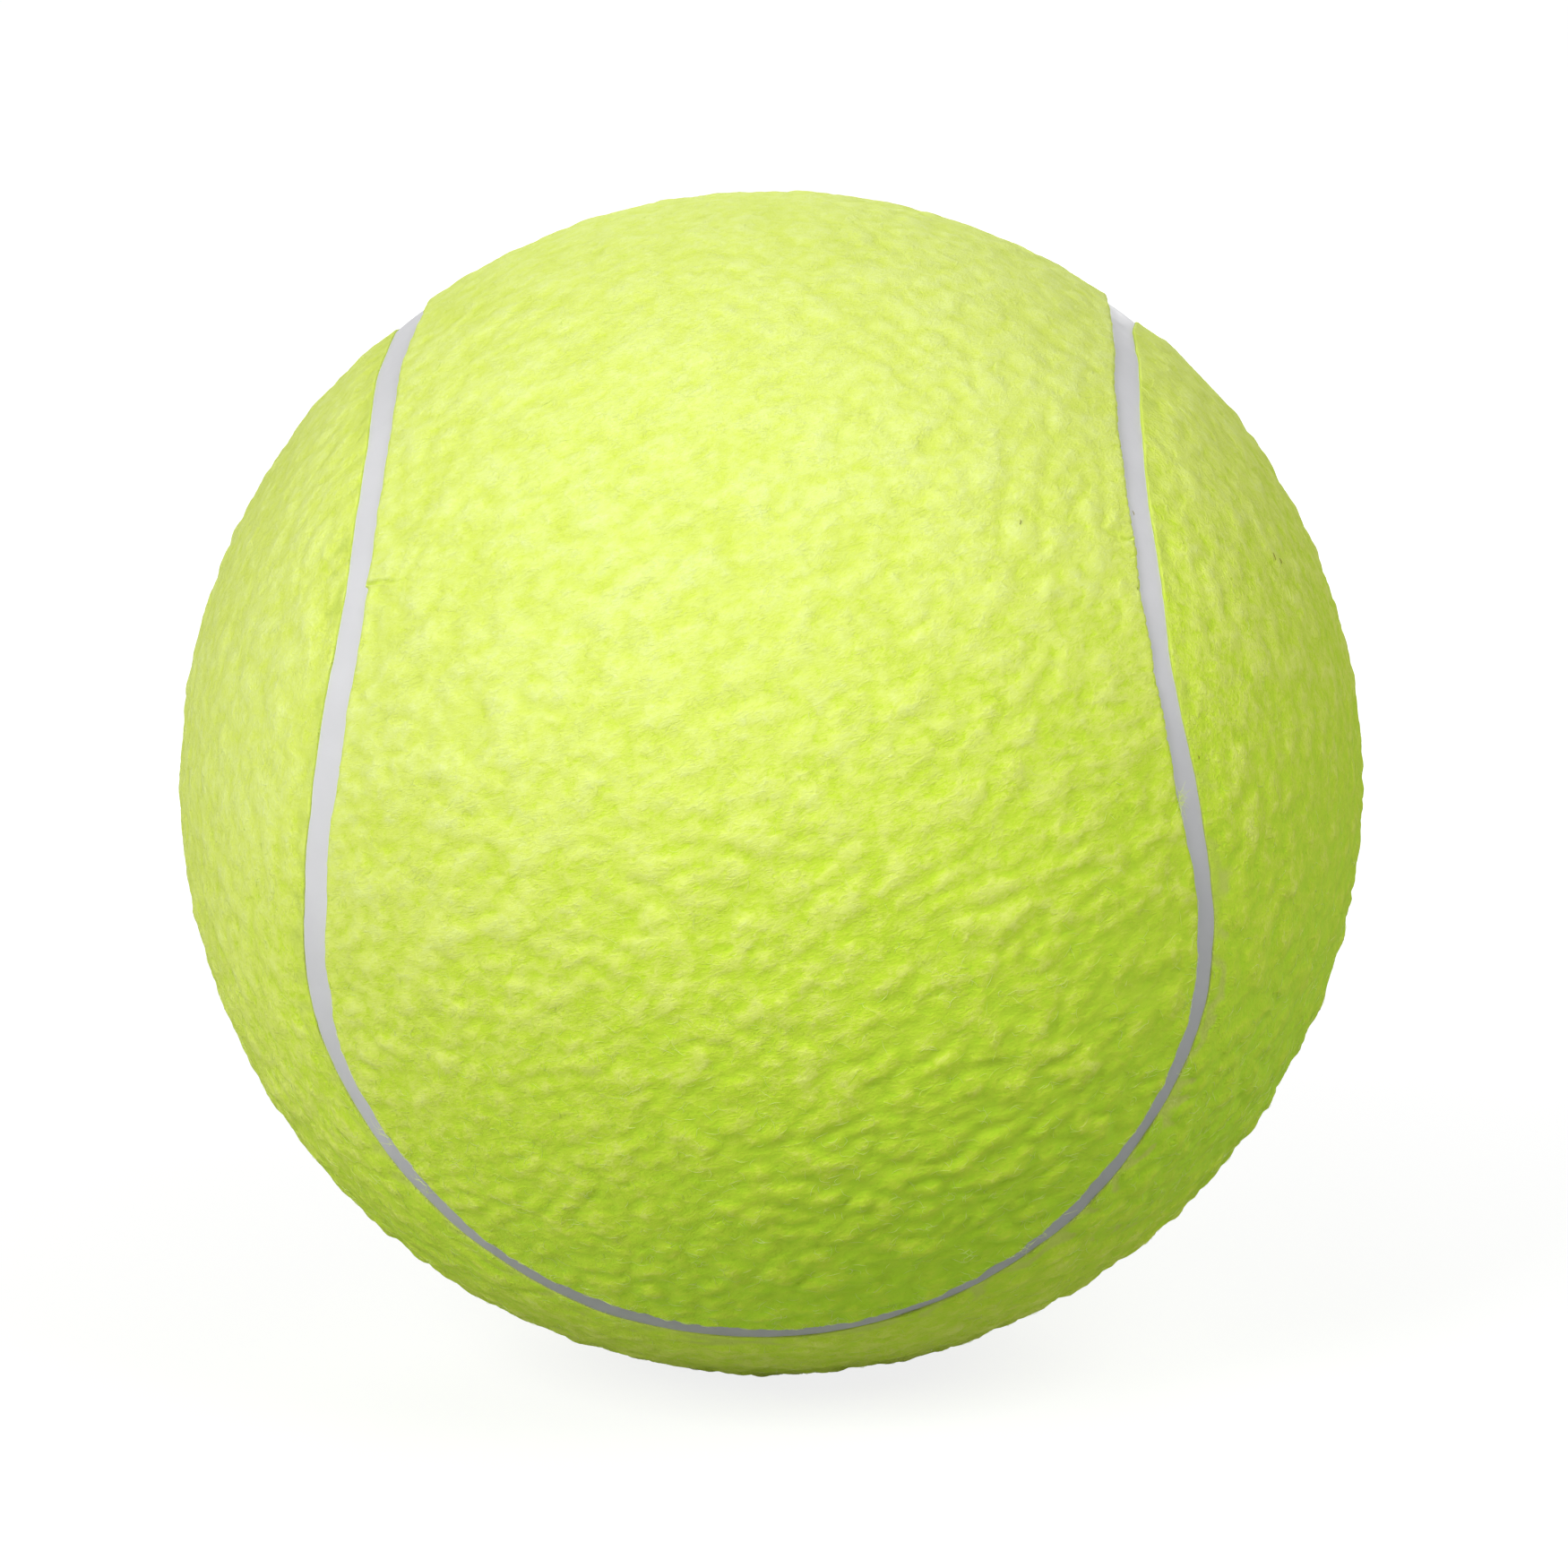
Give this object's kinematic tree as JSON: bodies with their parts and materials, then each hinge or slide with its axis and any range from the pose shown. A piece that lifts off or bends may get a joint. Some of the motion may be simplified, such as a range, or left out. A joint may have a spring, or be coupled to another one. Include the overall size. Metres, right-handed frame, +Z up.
{
  "type": "oversize tennis ball",
  "caption": "Oversize inflatable tennis ball: hollow rubber ball with a needle valve, two interlocking felt panels and a recessed rubber seam.",
  "frame": {"origin": "centre of the ball", "axes": "+Z up, through the middle of felt panel A's waist; +Y through the needle valve, under the middle of panel A's back lobe; panel A's front lobe faces -Y and panel B's lobes face +X and -X"},
  "size_m": [0.24, 0.24, 0.24],
  "materials": {
    "felt": "matte",
    "seam_rubber": "matte",
    "carcass_rubber": "matte",
    "bladder_rubber": "matte",
    "valve_rubber": "matte",
    "rubber_cement": "matte"
  },
  "bodies": {
    "root": {"bladder": "bladder_rubber", "valve_seat": "valve_rubber", "valve_plug": "valve_rubber", "carcass": "carcass_rubber", "seam_band": "seam_rubber", "cement_a": "rubber_cement", "cement_b": "rubber_cement", "felt_panel_a": "felt", "felt_panel_b": "felt"}
  },
  "joints": []
}
